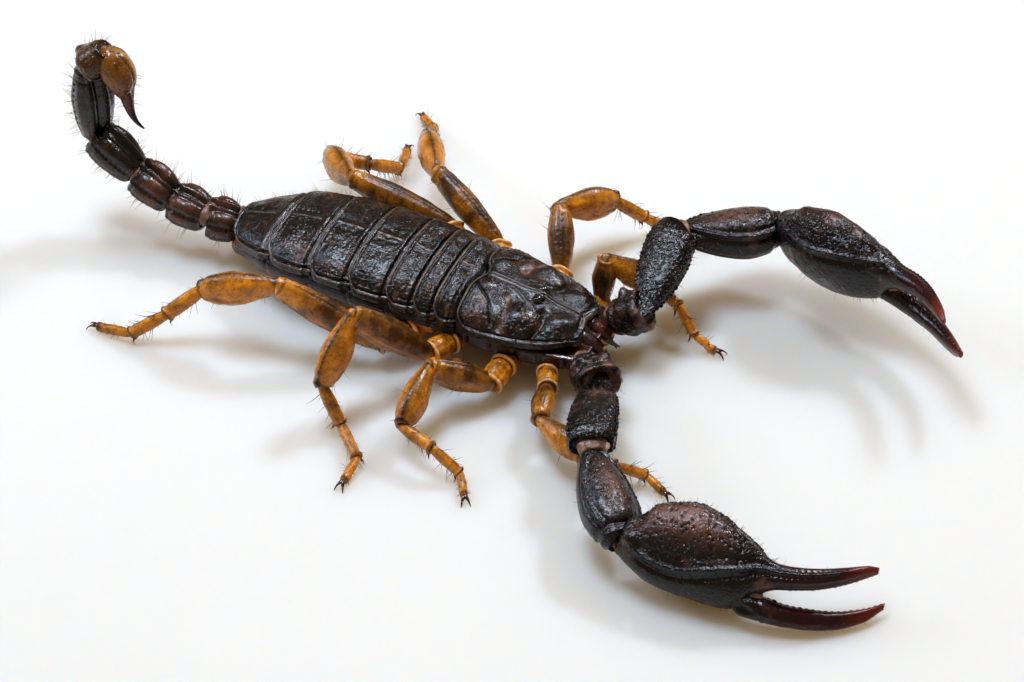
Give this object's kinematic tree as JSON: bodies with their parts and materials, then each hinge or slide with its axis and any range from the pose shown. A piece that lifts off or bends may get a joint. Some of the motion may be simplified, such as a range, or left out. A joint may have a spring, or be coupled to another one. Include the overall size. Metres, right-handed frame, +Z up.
{
  "type": "scorpion",
  "caption": "Life-size black scorpion with raised curved tail, open pincers and amber legs, standing on its feet as a still museum-type model.",
  "frame": {"origin": "centre of the bounding box on the floor the feet stand on", "axes": "+Z up, head towards -Y, tail towards +Y, the animal's right side towards -X"},
  "size_m": [0.0414, 0.0742, 0.0179],
  "materials": {
    "black_shell": "glossy black chitin plate, finely wrinkled, mahogany brown where thin",
    "brown_shell": "semi-gloss dark brown chitin",
    "amber_shell": "semi-gloss translucent amber-brown chitin",
    "eye_gloss": "wet black lens",
    "sting_shell": "glossy amber-brown, darkening to the barb"
  },
  "bodies": {
    "root": {"carapace": "black_shell", "chelicera_left": "brown_shell", "chelicera_right": "brown_shell", "eye_left": "eye_gloss", "eye_right": "eye_gloss", "leg_1_left_femur": "amber_shell", "leg_1_left_foot": "amber_shell", "leg_1_left_patella": "amber_shell", "leg_1_right_femur": "amber_shell", "leg_1_right_foot": "amber_shell", "leg_1_right_patella": "amber_shell", "leg_2_left_femur": "amber_shell", "leg_2_left_foot": "amber_shell", "leg_2_left_patella": "amber_shell", "leg_2_right_femur": "amber_shell", "leg_2_right_foot": "amber_shell", "leg_2_right_patella": "amber_shell", "leg_3_left_femur": "amber_shell", "leg_3_left_foot": "amber_shell", "leg_3_left_patella": "amber_shell", "leg_3_right_femur": "amber_shell", "leg_3_right_foot": "amber_shell", "leg_3_right_patella": "amber_shell", "leg_4_left_femur": "amber_shell", "leg_4_left_foot": "amber_shell", "leg_4_left_patella": "amber_shell", "leg_4_right_femur": "amber_shell", "leg_4_right_foot": "amber_shell", "leg_4_right_patella": "amber_shell", "pectines": "amber_shell", "pedipalp_left_femur": "black_shell", "pedipalp_left_finger": "black_shell", "pedipalp_left_palm": "black_shell", "pedipalp_left_patella": "black_shell", "pedipalp_left_trochanter": "black_shell", "pedipalp_right_femur": "black_shell", "pedipalp_right_finger": "black_shell", "pedipalp_right_palm": "black_shell", "pedipalp_right_patella": "black_shell", "pedipalp_right_trochanter": "black_shell", "prosoma_base": "brown_shell", "sternite_3": "brown_shell", "sternite_4": "brown_shell", "sternite_5": "brown_shell", "sternite_6": "brown_shell", "sternite_7": "brown_shell", "tail_1": "black_shell", "tail_2": "black_shell", "tail_3": "black_shell", "tail_4": "black_shell", "tail_5": "black_shell", "tail_6": "black_shell", "telson": "sting_shell", "tergite_1": "black_shell", "tergite_2": "black_shell", "tergite_3": "black_shell", "tergite_4": "black_shell", "tergite_5": "black_shell", "tergite_6": "black_shell", "tergite_7": "black_shell"}
  },
  "joints": []
}
